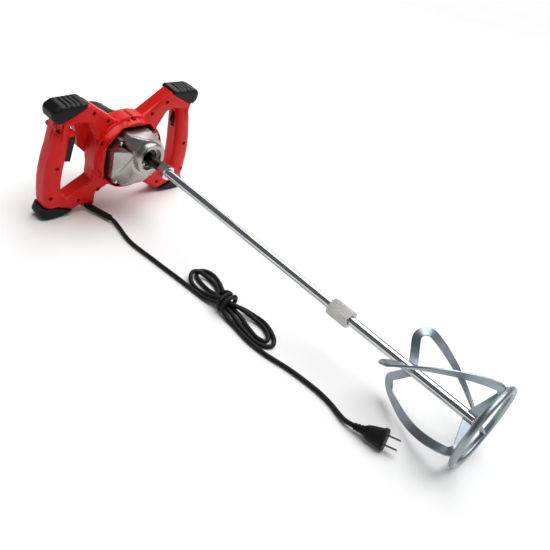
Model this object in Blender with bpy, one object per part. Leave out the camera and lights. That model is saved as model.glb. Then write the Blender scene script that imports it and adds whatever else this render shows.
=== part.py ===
"""A two-handled electric paint mixer with its rod, paddle and cord, lying on its bumpers and paddle ring.

Every length below is in millimetres and every mesh is built in the tool's own frame: the spindle points
along -Y, X runs across the handles and Z points to the top beam. The empty "tool" tips that frame so that
the lower bumpers and the paddle ring touch the floor.
"""

import math

import bmesh
import bpy
from mathutils import Matrix, Vector

MM = 0.001
GAP = 0.3

# Driving dimensions
SPLIT_Y = 16.0
HALF = GAP / 2
WALL = 3.2
PLATE_BACK = 30.0
HANDLE_FRONT = -1.0
HANDLE_BACK = 37.0
BARREL_RADIUS = 65.5
BARREL_FRONT = -18.0
BARREL_BACK = 42.0
COVER_BACK = 116.0
LOWEST_BUMPER = -126.0
BUMPER_CONTACT_Y = 4.0
SCREW_HEAD_Y = 8.0
NOSE_Y = -66.0
NUT_Y = -94.0
ROD_RADIUS = 7.0
ROD_END = -710.0
COUPLING = (-469.0, -505.0)
RING_RADIUS = 58.7
RING_BAR = 4.6
RING_Y = -722.0
BLADE_TURN = -91
BLADE_STARTS = {"first": 46.2, "second": 166.2, "third": 286.2}
BLADE_WIDTH = 12.2
BLADE_THICKNESS = 3.6
CORD_RADIUS = 3.4

# Gear train: teeth, module and shaft centres in X and Z
MODULE = 1.25
MOTOR_TEETH = 7
WHEEL_TEETH = 31
LAY_TEETH = 9
OUTPUT_TEETH = 33
MOTOR_AXIS = (0.0, -19.0)
SPINDLE_AXIS = (0.0, 0.0)

# The floor frame: the tool tips forward until its lower bumpers and its paddle ring both touch the floor,
# and it is moved so that the whole tool is centred on Y = 0
TILT = math.atan2(-LOWEST_BUMPER - RING_RADIUS - RING_BAR, BUMPER_CONTACT_Y - RING_Y)
FLOOR_Z = -RING_Y * math.sin(TILT) + RING_RADIUS * math.cos(TILT) + RING_BAR + 0.05
FLOOR_SHIFT = (0.0, 304.7, FLOOR_Z)

RED = (0.55, 0.012, 0.012, 1)
RUBBER = (0.012, 0.012, 0.013, 1)
BLACK = (0.02, 0.02, 0.02, 1)
ALUMINIUM = (0.55, 0.54, 0.52, 1)
ZINC = (0.55, 0.6, 0.65, 1)
STEEL = (0.5, 0.5, 0.5, 1)
COPPER = (0.7, 0.28, 0.12, 1)
TURNED_STEEL = (STEEL, 0.35, 1.0)


def clear_scene():
    for thing in list(bpy.data.objects):
        bpy.data.objects.remove(thing)


def material(name, colour, roughness, metallic):
    made = bpy.data.materials.new(name)
    made.use_nodes = True
    shader = made.node_tree.nodes["Principled BSDF"]
    shader.inputs["Base Color"].default_value = colour
    shader.inputs["Roughness"].default_value = roughness
    shader.inputs["Metallic"].default_value = metallic
    return made


def empty(name, at=(0, 0, 0), parent=None):
    made = bpy.data.objects.new(name, None)
    bpy.context.scene.collection.objects.link(made)
    made.location = Vector(at) * MM
    made.parent = parent
    return made


def place(name, bm, look, parent, pivot=(0, 0, 0)):
    """Turns bm, drawn in tool millimetres, into an object whose origin is the pivot."""
    bmesh.ops.remove_doubles(bm, verts=bm.verts, dist=1e-5)
    bmesh.ops.recalc_face_normals(bm, faces=bm.faces)
    bmesh.ops.translate(bm, verts=bm.verts, vec=-Vector(pivot))
    bmesh.ops.scale(bm, verts=bm.verts, vec=(MM, MM, MM))
    mesh = bpy.data.meshes.new(name)
    bm.to_mesh(mesh)
    bm.free()
    made = bpy.data.objects.new(name, mesh)
    bpy.context.scene.collection.objects.link(made)
    made.location = Vector(pivot) * MM
    made.parent = parent
    if look:
        made.data.materials.append(material(name, *look))
    return made


def cutter(name, bm, parent):
    made = place(name, bm, None, parent)
    made.hide_render = True
    made.display_type = "WIRE"
    return made


def boolean(target, other, operation="DIFFERENCE"):
    modifier = target.modifiers.new(other.name, "BOOLEAN")
    modifier.object = other
    modifier.operation = operation
    modifier.solver = "EXACT"


def arc(centre, first, last, segments):
    """Points round the centre from centre + first to centre + last, the short way."""
    turn = math.atan2(first.cross(last), first.dot(last)) / segments
    return [centre + Matrix.Rotation(turn * k, 2) @ first for k in range(segments + 1)]


def rounded(corners, segments=4):
    """An outline from (x, z, radius) corners, each one replaced by an arc."""
    outline = []
    for i, (x, z, radius) in enumerate(corners):
        here = Vector((x, z))
        back = (Vector(corners[i - 1][:2]) - here).normalized()
        ahead = (Vector(corners[(i + 1) % len(corners)][:2]) - here).normalized()
        if radius == 0:
            outline.append(here)
            continue
        half = back.angle(ahead) / 2
        centre = here + (back + ahead).normalized() * radius / math.sin(half)
        first = here + back * radius / math.tan(half) - centre
        last = here + ahead * radius / math.tan(half) - centre
        outline += arc(centre, first, last, segments)
    return outline


def circle(centre, radius, count):
    turn = 2 * math.pi / count
    return [
        Vector((centre[0] + radius * math.cos(turn * k), centre[1] + radius * math.sin(turn * k)))
        for k in range(count)
    ]


def offset(outline, inset):
    """The outline moved inwards by inset, corner by corner."""
    count = len(outline)
    area = sum(outline[i - 1].cross(outline[i]) for i in range(count))
    side = math.copysign(1, area)
    moved = []
    for i, point in enumerate(outline):
        before = (point - outline[i - 1]).normalized()
        after = (outline[(i + 1) % count] - point).normalized()
        along = (before + after).normalized()
        normal = Vector((-along.y, along.x)) * side
        moved.append(point + normal * inset / max(0.5, normal.dot(Vector((-after.y, after.x)) * side)))
    return moved


def skinned(rings, bm):
    """Closes a solid round rings that have the same number of vertices."""
    for near, far in zip(rings, rings[1:]):
        for i in range(len(near)):
            bm.faces.new((near[i - 1], near[i], far[i], far[i - 1]))
    bm.faces.new(rings[0])
    bm.faces.new(rings[-1])
    return bm


def loft(outline, steps, bm=None):
    """A closed solid through copies of the outline at (y, inset) steps."""
    bm = bm or bmesh.new()
    rings = [
        [bm.verts.new((p.x, y, p.y)) for p in (offset(outline, inset) if inset else outline)]
        for y, inset in steps
    ]
    return skinned(rings, bm)


def blend(first, last, steps):
    """A closed solid between two outlines with the same number of points, at (y, share) steps."""
    bm = bmesh.new()
    rings = []
    for y, share in steps:
        between = [a.lerp(b, share) for a, b in zip(first, last)]
        rings.append([bm.verts.new((p.x, y, p.y)) for p in between])
    return skinned(rings, bm)


def turned(profile, axis=(0, 0), count=24, bm=None):
    """A solid of revolution about an axis parallel to Y, from (y, radius) stations with solid ends."""
    bm = bm or bmesh.new()
    rings = [[bm.verts.new((p.x, y, p.y)) for p in circle(axis, radius, count)] for y, radius in profile]
    return skinned(rings, bm)


def collar(profile, axis=(0, 0), count=24):
    """A ring about an axis parallel to Y, from the closed loop of its (y, radius) section."""
    bm = bmesh.new()
    rings = [[bm.verts.new((p.x, y, p.y)) for p in circle(axis, radius, count)] for y, radius in profile]
    for near, far in zip(rings, rings[1:] + rings[:1]):
        for i in range(count):
            bm.faces.new((near[i - 1], near[i], far[i], far[i - 1]))
    return bm


def tube(start, end, outer, inner, axis=(0, 0), count=24):
    return collar([(start, outer), (end, outer), (end, inner), (start, inner)], axis, count)


def block(low, high, bevel=0.0, bm=None):
    """A box between two corners with its edges chamfered."""
    bm = bm or bmesh.new()
    low, high = Vector(low), Vector(high)
    matrix = Matrix.Translation((low + high) / 2) @ Matrix.Diagonal((*(high - low), 1))
    made = bmesh.ops.create_cube(bm, size=1, matrix=matrix)
    if bevel:
        edges = list({e for v in made["verts"] for e in v.link_edges})
        bmesh.ops.bevel(bm, geom=edges, offset=bevel, segments=1, profile=0.5, affect="EDGES")
    return bm


def upright(centre, low, high, radius, count=16):
    """A solid cylinder parallel to Z, from its centre in X and Y."""
    bm = bmesh.new()
    rings = [[bm.verts.new((p.x, p.y, z)) for p in circle(centre, radius, count)] for z in (low, high)]
    return skinned(rings, bm)


def mirrored(corners):
    """The corners of one side, joined to their mirror images across X = 0."""
    return corners + [(-x, z, radius) for x, z, radius in reversed(corners)]


# Outlines in the front view, as (x, z, corner radius) on the +X side
PLATE = [
    (20, 36, 0),
    (60, 62, 12),
    (81, 76.5, 0),
    (132, 50.5, 0),
    (132, -101.5, 0),
    (90, -117.4, 8),
    (75, -110.5, 8),
    (46, -92, 8),
    (20, -80, 0),
]
FINGER_HOLE = [
    (60, 10, 2),
    (78, 42, 7),
    (96, 45.5, 6),
    (119, 40, 5),
    (126, -50, 5),
    (122, -84, 5),
    (107, -92, 9),
    (60, -66, 4),
]
# The handle from its top to its bottom, as (z, inner x, outer x, how far its front leans back)
HANDLE = [
    (49.2, 107, 133.5, 5),
    (38, 107, 134.5, 4),
    (25, 108.5, 136.5, 2),
    (5, 110.5, 139.5, 0),
    (-15, 113, 144, 0),
    (-35, 115.5, 146.8, 0),
    (-55, 116.8, 147.8, 0),
    (-75, 115.5, 147, 0),
    (-90, 111.5, 145.8, 0),
    (-102, 107, 143.5, 0),
]
TOP_BUMPER = [
    (83, 76.4, 0),
    (86, 82, 4),
    (134, 80, 10),
    (147, 71, 9),
    (145, 57, 8),
    (136, 49.6, 0),
    (133, 51, 0),
]
BOTTOM_BUMPER = [
    (90.5, -118.2, 0),
    (103, -122.5, 7),
    (124, LOWEST_BUMPER, 10),
    (143, LOWEST_BUMPER, 10),
    (152, -118, 8),
    (146.5, -103.4, 0),
    (133, -102.7, 0),
]
GEARBOX = [
    (23, 30, 5),
    (49, 3, 5),
    (47, -49, 5),
    (20, -70, 5),
]
OPENING = [
    (27, 36.5, 6),
    (54.5, 7, 8),
    (55, -30, 10),
    (52.5, -52, 8),
    (25, -75, 8),
]
# The web behind each finger hole, between the top beam and the barrel
WEB = [
    (54, 52, 0),
    (97, 52, 3),
    (89, 26, 6),
    (82, 6, 8),
    (79.5, -11, 4),
    (73.3, -16, 3),
    (66.3, -23, 2),
    (56.5, -31, 0),
    (52.5, -33, 0),
]
SIDES = ((1, "right"), (-1, "left"))
CORD_HOLE = (-62, 12)
DIAL_CENTRE = (117.5, 16)
SCREWS_THROUGH_PLATE = [(73, 60), (82.8, -100), (44.7, 42.6), (46, -86)]
SCREWS_THROUGH_HANDLE = [(130.5, 35), (130.5, -28), (137, -82.5)]
TOP_SCREW = (0, 43)
CORD_BOSS = ((-74, 2, -116), (-50, 24, -88))
GUARD = ((-117, 3, 21.4), (-99.5, 31, 29))



def softened(start, end, size):
    """Loft steps from a rounded edge at start to a square one at end."""
    way = math.copysign(1, end - start)
    turns = [math.radians(angle) for angle in (0, 30, 60)]
    steps = [(start + way * size * (1 - math.cos(a)), size * (1 - math.sin(a))) for a in turns]
    return steps + [(start + way * size, 0), (end, 0)]


def flared(start, end, size):
    """Loft steps for a cutter that leaves a rounded edge at start."""
    way = math.copysign(1, end - start)
    steps = [(y, -inset) for y, inset in softened(start, end, size)]
    return [(start - way, steps[0][1])] + steps


def flip(corners):
    return [(-x, z, radius) for x, z, radius in reversed(corners)]


def screw_places():
    for x, z in SCREWS_THROUGH_PLATE:
        yield from ((-x, z, PLATE_BACK), (x, z, PLATE_BACK))
    for x, z in SCREWS_THROUGH_HANDLE:
        yield from ((-x, z, HANDLE_BACK), (x, z, HANDLE_BACK))
    yield (*TOP_SCREW, PLATE_BACK)


def column(side, edge, outer, size, wall, stations):
    """Half of a handle, lofted down through its stations: square at edge and rounded at outer."""
    way = math.copysign(1, edge - outer)
    bm = bmesh.new()
    rings = []
    quarter = [math.pi / 2 * k / 4 for k in range(5)]
    for z, inner, far, lean in stations:
        near_x, far_x = inner + wall, far - wall
        face = outer + lean if way > 0 else outer
        ring = [(near_x, edge)]
        for a in quarter:
            ring.append((near_x + size * (1 - math.cos(a)), face + way * size * (1 - math.sin(a))))
        for a in reversed(quarter):
            ring.append((far_x - size * (1 - math.cos(a)), face + way * size * (1 - math.sin(a))))
        ring.append((far_x, edge))
        rings.append([bm.verts.new((side * x, y, z)) for x, y in ring])
    return skinned(rings, bm)


def shell(name, parent, edge, plate_edge, handle_edge, barrel_profile, bore):
    """Half of the casing, from its split face at edge to its outer faces."""
    plate = loft(rounded(mirrored(PLATE), 3), softened(plate_edge, edge, 6))
    made = place(name, plate, (RED, 0.35, 0.0), parent)
    for side, word in SIDES:
        hole = FINGER_HOLE if side > 0 else flip(FINGER_HOLE)
        past_split = edge + math.copysign(1, edge - plate_edge)
        cut = loft(rounded(hole, 3), flared(plate_edge, past_split, 5))
        boolean(made, cutter(f"{name}_{word}_gap", cut, parent))
    for side, word in SIDES:
        bar = column(side, edge, handle_edge, 11, 0, HANDLE)
        boolean(made, cutter(f"{name}_{word}_bar", bar, parent), "UNION")
    barrel = turned(barrel_profile, MOTOR_AXIS, 44)
    boolean(made, cutter(f"{name}_barrel", barrel, parent), "UNION")
    boolean(made, cutter(f"{name}_bore", bore, parent))
    return made


def hollow_handles(made, name, parent, edge, outer):
    """Opens each handle for the switch and the speed control."""
    way = math.copysign(1, edge - outer)
    for side, word in SIDES:
        room = column(side, edge + way, outer + way * WALL, 8, WALL, HANDLE[1:-1])
        boolean(made, cutter(f"{name}_{word}_cavity", room, parent))


def bosses(made, name, parent, front):
    """Screw bosses joined to the casing, then drilled."""
    pillars = bmesh.new()
    holes = bmesh.new()
    seat = SCREW_HEAD_Y + 3.2
    for x, z, back in screw_places():
        if front:
            turned([(HANDLE_FRONT + 2, 5), (SPLIT_Y - HALF, 5)], (x, z), 8, pillars)
            hole = [(-12, 3.8), (seat, 3.8), (seat + 0.1, 1.9), (SPLIT_Y + 1, 1.9)]
        else:
            turned([(SPLIT_Y + HALF, 4.6), (back - 1, 4.6)], (x, z), 8, pillars)
            hole = [(SPLIT_Y - 1, 1.9), (back - 4, 1.9)]
        turned(hole, (x, z), 8, holes)
    boolean(made, cutter(f"{name}_bosses", pillars, parent), "UNION")
    boolean(made, cutter(f"{name}_screw_holes", holes, parent))


def front_half(tool):
    edge = SPLIT_Y - HALF
    profile = [
        (BARREL_FRONT, BARREL_RADIUS - 5),
        (BARREL_FRONT + 2, BARREL_RADIUS - 3.5),
        (-4, BARREL_RADIUS - 3),
        (-3, BARREL_RADIUS),
        (edge, BARREL_RADIUS),
    ]
    bore = loft(rounded(mirrored(OPENING), 3), [(BARREL_FRONT - 1, 0), (edge + 1, 0)])
    made = shell("front_housing", tool, edge, 0, HANDLE_FRONT, profile, bore)
    hollow_handles(made, "front_housing", tool, edge, HANDLE_FRONT)
    bosses(made, "front_housing", tool, True)
    return made


def rear_half(tool):
    edge = SPLIT_Y + HALF
    profile = [(edge, BARREL_RADIUS), (24, BARREL_RADIUS), (32, 59), (BARREL_BACK, 50.5)]
    bore = turned([(edge - 1, 57), (23, 57), (27, 46.5), (BARREL_BACK + 1, 46.5)], MOTOR_AXIS, 32)
    made = shell("rear_housing", tool, edge, PLATE_BACK, HANDLE_BACK, profile, bore)
    webs = bmesh.new()
    for side, _ in SIDES:
        loft(rounded(WEB if side > 0 else flip(WEB), 3), [(26, 0), (36, 0)], webs)
    boolean(made, cutter("rear_housing_webs", webs, tool), "UNION")
    hollow_handles(made, "rear_housing", tool, edge, HANDLE_BACK)
    bosses(made, "rear_housing", tool, False)
    return made


def casing(tool):
    openings = casing_cutters(tool)
    for made, near, far in ((front_half(tool), 0, SPLIT_Y - HALF), (rear_half(tool), SPLIT_Y + HALF, 100)):
        for number, (low, high) in enumerate((CORD_BOSS, GUARD)):
            box = block((low[0], max(low[1], near), low[2]), (high[0], min(high[1], far), high[2]), 1.0)
            boolean(made, cutter(f"{made.name}_block_{number}", box, tool), "UNION")
        for opening in openings:
            boolean(made, opening)


def bumpers(tool):
    for name, outline in (("top", TOP_BUMPER), ("bottom", BOTTOM_BUMPER)):
        for side, word in SIDES:
            points = rounded(outline if side > 0 else flip(outline), 3)
            steps = softened(-1.5, SPLIT_Y, 5)[:-1] + softened(HANDLE_BACK + 0.5, SPLIT_Y, 5)[-2::-1]
            place(f"{name}_{word}_bumper", loft(points, steps), (RUBBER, 0.55, 0.0), tool)


def casing_cutters(tool):
    """The openings that both halves share: the trigger's, the dial's, and the cord's with its mouth."""
    bore = upright(CORD_HOLE, -122, -104, 6.9)
    mouth = block((-69.3, 0, -120), (-53.2, CORD_HOLE[1], -109.8))
    return [
        cutter("trigger_slot", block((-126, 3.4, -24.2), (-104.5, 27.6, 20.7)), tool),
        cutter("dial_slot", block((103, 13.6, 1), (131, 22.4, 31)), tool),
        cutter("cord_hole", bore, tool),
        cutter("cord_mouth", mouth, tool),
    ]


def casing_screws(tool):
    places = [(73, 60, PLATE_BACK), (82.8, -100, PLATE_BACK)]
    places += [(130.5, -28, HANDLE_BACK), (137, -82.5, HANDLE_BACK)]
    for number, (x, z, back) in enumerate(places):
        for side, place_in_pair in ((-1, 1), (1, 2)):
            head = [(SCREW_HEAD_Y, 3.0), (SCREW_HEAD_Y + 0.6, 3.4), (SCREW_HEAD_Y + 2.8, 3.4)]
            shank = [(SCREW_HEAD_Y + 2.9, 1.5), (back - 5, 1.5)]
            bm = turned(head + shank, (side * x, z), 10)
            place(f"casing_screw_{2 * number + place_in_pair}", bm, (BLACK, 0.5, 0.6), tool)


def controls(tool):
    """The trigger and its switch in the left handle, the speed dial and its board in the right one."""
    trigger = block((-119, 4, -23.5), (-100.5, 27, 20), 1.2)
    place("switch_trigger", trigger, (BLACK, 0.45, 0.0), tool, (-110, 18, -2.5))
    switch = block((-132.4, 8, -20), (-126.6, 29, 20), 1.0)
    place("switch_body", switch, (BLACK, 0.5, 0.0), tool)
    rim = turned([(14.5, 12), (15.3, 13), (20.7, 13), (21.5, 12)], DIAL_CENTRE, 30)
    place("speed_dial", rim, (BLACK, 0.4, 0.0), tool, (DIAL_CENTRE[0], 18, DIAL_CENTRE[1]))
    board = block((120.5, 23.2, -14), (131.5, 30, 27), 0.8)
    place("speed_control", board, (BLACK, 0.5, 0.0), tool)


def gear_outline(centre, teeth, module, turn, addendum=0.75, dedendum=1.15):
    """Straight-sided teeth, a little thin so that meshed pairs keep their backlash."""
    pitch_radius = teeth * module / 2
    root, tip = pitch_radius - dedendum * module, pitch_radius + addendum * module
    pitch = 2 * math.pi / teeth
    middle = Vector(centre)
    points = []
    for k in range(teeth):
        for share, radius in ((-0.3, root), (-0.11, tip), (0.11, tip), (0.3, root)):
            angle = turn + pitch * (k + share)
            points.append(middle + Vector((math.cos(angle), math.sin(angle))) * radius)
    return points


def lay_axis():
    """The lay shaft's place: its distances to the motor and the spindle come from the teeth."""
    to_motor = (MOTOR_TEETH + WHEEL_TEETH) * MODULE / 2
    to_spindle = (LAY_TEETH + OUTPUT_TEETH) * MODULE / 2
    drop = -MOTOR_AXIS[1]
    z = (to_motor**2 - to_spindle**2 - drop**2) / (2 * drop)
    return (math.sqrt(to_spindle**2 - z**2), z)


def angle_between(first, second):
    return math.atan2(second[1] - first[1], second[0] - first[0])


def bored(made, start, end, radius, axis, parent):
    """Drills a straight hole about an axis parallel to Y."""
    hole = turned([(start, radius), (end, radius)], axis, 20)
    boolean(made, cutter(f"{made.name}_bore", hole, parent))


def armature(tool, to_lay):
    pivot = (MOTOR_AXIS[0], 0, MOTOR_AXIS[1])
    pinion = loft(gear_outline(MOTOR_AXIS, MOTOR_TEETH, MODULE, to_lay), [(-27, 0), (-15, 0)])
    shaft = place("armature_shaft", pinion, TURNED_STEEL, tool, pivot)
    journal = turned([(-18, 2.9), (-13, 2.9), (-12.9, 4.5), (103, 4.5)], MOTOR_AXIS, 16)
    boolean(shaft, cutter("armature_journal", journal, tool), "UNION")
    place("armature_core", tube(4, 34, 23, 4.8, MOTOR_AXIS, 24), (COPPER, 0.5, 0.6), tool, pivot)
    place("commutator", tube(64, 80, 12, 4.8, MOTOR_AXIS, 24), (COPPER, 0.3, 1.0), tool, pivot)
    vanes = gear_outline(MOTOR_AXIS, 12, 5.6, 0, 0.6, 4.2)
    fan = place("cooling_fan", loft(vanes, [(38, 0), (46, 0)]), (BLACK, 0.5, 0.0), tool, pivot)
    bored(fan, 37, 47, 4.8, MOTOR_AXIS, tool)


def motor_frame(tool):
    """The pieces round the armature that stay still."""
    place("stator", tube(2, 35, 44, 24.2, MOTOR_AXIS, 28), (STEEL, 0.6, 0.8), tool)
    place("front_motor_bearing", tube(-9, -1, 13, 4.8, MOTOR_AXIS, 24), TURNED_STEEL, tool)
    place("rear_motor_bearing", tube(92, 100, 12, 4.8, MOTOR_AXIS, 24), TURNED_STEEL, tool)


def lay_gears(tool, lay, to_lay, to_spindle):
    pivot = (lay[0], 0, lay[1])
    wheel_turn = to_lay + math.pi + math.pi / WHEEL_TEETH
    outline = gear_outline(lay, WHEEL_TEETH, MODULE, wheel_turn)
    wheel = place("lay_wheel", loft(outline, [(-24, 0), (-17, 0)]), TURNED_STEEL, tool, pivot)
    bored(wheel, -25, -16, 4.3, lay, tool)
    pinion = loft(gear_outline(lay, LAY_TEETH, MODULE, to_spindle), [(-41, 0), (-27, 0)])
    shaft = place("lay_shaft", pinion, TURNED_STEEL, tool, pivot)
    journal = turned([(-44, 3), (-30, 3), (-29, 4), (-11.5, 4)], lay, 16)
    boolean(shaft, cutter("lay_journal", journal, tool), "UNION")


def output_shaft(tool, to_spindle):
    output_turn = to_spindle + math.pi + math.pi / OUTPUT_TEETH
    outline = gear_outline(SPINDLE_AXIS, OUTPUT_TEETH, MODULE, output_turn)
    wheel = place("output_gear", loft(outline, [(-38, 0), (-29, 0)]), TURNED_STEEL, tool)
    bored(wheel, -39, -28, 8.3, SPINDLE_AXIS, tool)
    profile = [(-24, 6), (-25, 8), (-41, 8), (-41.1, 9.5), (-45, 9.5), (-45.1, 8.6), (NUT_Y + GAP, 8.6)]
    made = place("spindle", turned(profile, SPINDLE_AXIS, 24), (BLACK, 0.3, 0.8), tool)
    bored(made, NUT_Y - 1, -66, ROD_RADIUS + GAP, SPINDLE_AXIS, tool)
    place("spindle_bearing", tube(-56.5, -46, 16.6, 8.9, SPINDLE_AXIS, 28), (BLACK, 0.5, 0.6), tool)


def circlip(tool):
    """A flat ring with a gap and two eyed lugs, lying in the nose recess."""
    front, back = -58.6, -57.2
    made = place("circlip", tube(front, back, 18.6, 15.6, SPINDLE_AXIS, 36), (STEEL, 0.2, 1.0), tool)
    gap = block((-9, front - 1, -19.5), (9, back + 1, -10))
    boolean(made, cutter("circlip_gap", gap, tool))
    eyes = bmesh.new()
    for side, word in SIDES:
        lug = turned([(front, 3.6), (back, 3.6)], (side * 9.6, -12.2), 12)
        boolean(made, cutter(f"circlip_{word}_lug", lug, tool), "UNION")
        turned([(front - 1, 1.2), (back + 1, 1.2)], (side * 9.2, -11.8), 10, eyes)
    boolean(made, cutter("circlip_eyes", eyes, tool))


def gearbox(tool, lay):
    """The die-cast housing with its nose, screw pockets and cavity, and the plate that closes it."""
    outline = rounded(mirrored(GEARBOX), 3)
    count = len(outline)
    start = math.atan2(outline[0].y, outline[0].x)
    nose = []
    for k in range(count):
        angle = start - 2 * math.pi * k / count
        nose.append(Vector((math.cos(angle), math.sin(angle))) * 32)
    body = blend(outline, nose, [(-13, 0), (-30, 0.04), (-47, 0.5), (-57, 0.95)])
    look = (ALUMINIUM, 0.4, 1.0)
    made = place("gearbox_housing", body, look, tool)
    rim = turned([(-48, 29), (-59, 27.5), (NOSE_Y + 1, 26.5), (NOSE_Y, 25.5)], SPINDLE_AXIS, 32)
    boolean(made, cutter("gearbox_rim", rim, tool), "UNION")
    inside = blend(offset(outline, WALL), offset(nose, 4.5), [(-12, 0), (-28, 0.04), (-44.5, 0.5)])
    boolean(made, cutter("gearbox_cavity", inside, tool))
    steps = [(NOSE_Y - 1, 20.5), (NOSE_Y + 1, 19.3), (-57, 19.3), (-56.9, 16.9)]
    steps += [(-45.6, 16.9), (-45.5, 15), (-40, 15)]
    boolean(made, cutter("gearbox_steps", turned(steps, SPINDLE_AXIS, 32), tool))
    pads = bmesh.new()
    pockets = bmesh.new()
    for side, _ in SIDES:
        for x, z in ((31.3, 15.5), (33, -51.5)):
            block((side * x - 7, -27.2, z - 7), (side * x + 7, -13, z + 7), 0, pads)
        for x, z in ((40, 20), (41, -60)):
            block((side * x - 9, -60, z - 9), (side * x + 9, -27, z + 9), 0, pockets)
    boolean(made, cutter("gearbox_pads", pads, tool), "UNION")
    boolean(made, cutter("gearbox_pockets", pockets, tool))
    plate = place("bearing_plate", loft(offset(outline, 0.4), [(-12.7, 0), (-6, 0)]), look, tool)
    seats = turned([(-14, 11), (-9.3, 11), (-9.2, 13.3), (-5, 13.3)], MOTOR_AXIS, 24)
    turned([(-14, 4.3), (-10, 4.3)], lay, 16, seats)
    boolean(plate, cutter("plate_seats", seats, tool))


def gearbox_screws(tool):
    for number, (x, z) in enumerate([(-36, 15.5), (36, 15.5), (-36.5, -55.5), (36.5, -55.5)], 1):
        head = turned([(-31, 3.2), (-30.2, 3.8), (-27.6, 3.8)], (x, z), 12)
        place(f"gearbox_screw_{number}", head, (ZINC, 0.3, 1.0), tool)


def motor_cover(tool):
    """The vented black cover, with the seat of the rear bearing inside."""
    outer = [(BARREL_BACK + GAP, 49), (60, 44.2), (78, 39.2), (104, 37), (112, 34.5), (COVER_BACK, 29)]
    inner = [(BARREL_BACK - 1, 45.8), (58, 41), (76, 36), (103, 33.8), (109, 31), (112.6, 26)]
    made = place("motor_cover", turned(outer, MOTOR_AXIS, 36), (BLACK, 0.5, 0.0), tool)
    boolean(made, cutter("cover_cavity", turned(inner, MOTOR_AXIS, 28), tool))
    seat = tube(91, 113.5, 15, 12.3, MOTOR_AXIS, 24)
    boolean(made, cutter("cover_seat", seat, tool), "UNION")
    slots = bmesh.new()
    for row in range(-2, 3):
        z = MOTOR_AXIS[1] + row * 8
        for side, _ in SIDES:
            block((side * 23 - 6, 107, z - 1.8), (side * 23 + 6, COVER_BACK + 2, z + 1.8), 0, slots)
    boolean(made, cutter("cover_slots", slots, tool))


def across(side, near, far):
    """The low and high X of a stretch from near to far on one side."""
    return sorted((side * near, side * far))


def brushes(tool):
    z = MOTOR_AXIS[1]
    for side, word in SIDES:
        low, high = across(side, 12.4, 24)
        carbon = block((low, 68, z - 4), (high, 76, z + 4))
        place(f"{word}_brush", carbon, (RUBBER, 0.7, 0.0), tool)
        low, high = across(side, 15.5, 32)
        holder = block((low, 65, z - 7), (high, 79, z + 7), 1)
        made = place(f"{word}_brush_holder", holder, (COPPER, 0.4, 1.0), tool)
        low, high = across(side, 14.5, 28)
        slot = block((low, 67.7, z - 4.3), (high, 76.3, z + 4.3))
        boolean(made, cutter(f"{word}_brush_slot", slot, tool))


def hexagon(name, start, end, radius, chamfer, tool):
    """A six-sided piece on the rod, chamfered at both ends and bored for it."""
    ends, wide = circle(SPINDLE_AXIS, radius - chamfer, 6), circle(SPINDLE_AXIS, radius, 6)
    steps = [(start, 0), (start - chamfer, 1), (end + chamfer, 1), (end, 0)]
    made = place(name, blend(ends, wide, steps), (ZINC, 0.3, 1.0), tool)
    bored(made, start + 1, end - 1, ROD_RADIUS + GAP, SPINDLE_AXIS, tool)


def rods(tool):
    hexagon("lock_nut", NUT_Y, NUT_Y - 16, 12.7, 1.5, tool)
    hexagon("hex_coupling", *COUPLING, 13.9, 1.6, tool)
    meeting = (COUPLING[0] + COUPLING[1]) / 2
    for name, start, end in (("upper_rod", -68, meeting + 1), ("lower_rod", meeting - 1, ROD_END)):
        ends = [(start, 6), (start - 1, ROD_RADIUS), (end + 1, ROD_RADIUS), (end, 6)]
        rod = turned(ends, SPINDLE_AXIS, 24)
        place(name, rod, (ZINC, 0.25, 1.0), tool)


def rounded_path(corners, segments=5):
    """An open line from (x, z, radius) corners, bent in an arc at each inner one."""
    path = [Vector(corners[0][:2])]
    for before, (x, y, radius), after in zip(corners, corners[1:], corners[2:]):
        here = Vector((x, y))
        back = (Vector(before[:2]) - here).normalized()
        ahead = (Vector(after[:2]) - here).normalized()
        half = back.angle(ahead) / 2
        centre = here + (back + ahead).normalized() * radius / math.sin(half)
        first = here + back * radius / math.tan(half) - centre
        last = here + ahead * radius / math.tan(half) - centre
        path += arc(centre, first, last, segments)
    return path + [Vector(corners[-1][:2])]


def subdivided(path, longest):
    points = [path[0]]
    for near, far in zip(path, path[1:]):
        parts = max(1, math.ceil((far - near).length / longest))
        points += [near.lerp(far, k / parts) for k in range(1, parts + 1)]
    return points


def blade(start):
    """A flat bar bent on edge into a C and twisted a quarter turn about the rod."""
    edge = ROD_RADIUS + 0.6
    bends = [(edge, -607.5, 0), (57.5, -573.8, 15), (57.5, -722, 10), (edge, -703.5, 0)]
    path = subdivided(rounded_path(bends), 10)
    top, bottom = -580, -718
    rod = Vector((0, 1, 0))
    bm = bmesh.new()
    rings = []
    for i, point in enumerate(path):
        ahead = (path[min(i + 1, len(path) - 1)] - path[max(i - 1, 0)]).normalized()
        share = min(1, max(0, (point.y - top) / (bottom - top)))
        angle = math.radians(start + BLADE_TURN * share)
        radial = Vector((math.cos(angle), 0, math.sin(angle)))
        half_width = (rod * ahead.x - radial * ahead.y) * BLADE_WIDTH / 2
        half_thickness = rod.cross(radial) * -BLADE_THICKNESS / 2
        centre = radial * point.x + rod * point.y
        corners = ((-1, -1), (1, -1), (1, 1), (-1, 1))
        ring = [centre + half_width * wide + half_thickness * thick for wide, thick in corners]
        rings.append([bm.verts.new(point) for point in ring])
    return skinned(rings, bm)


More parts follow.
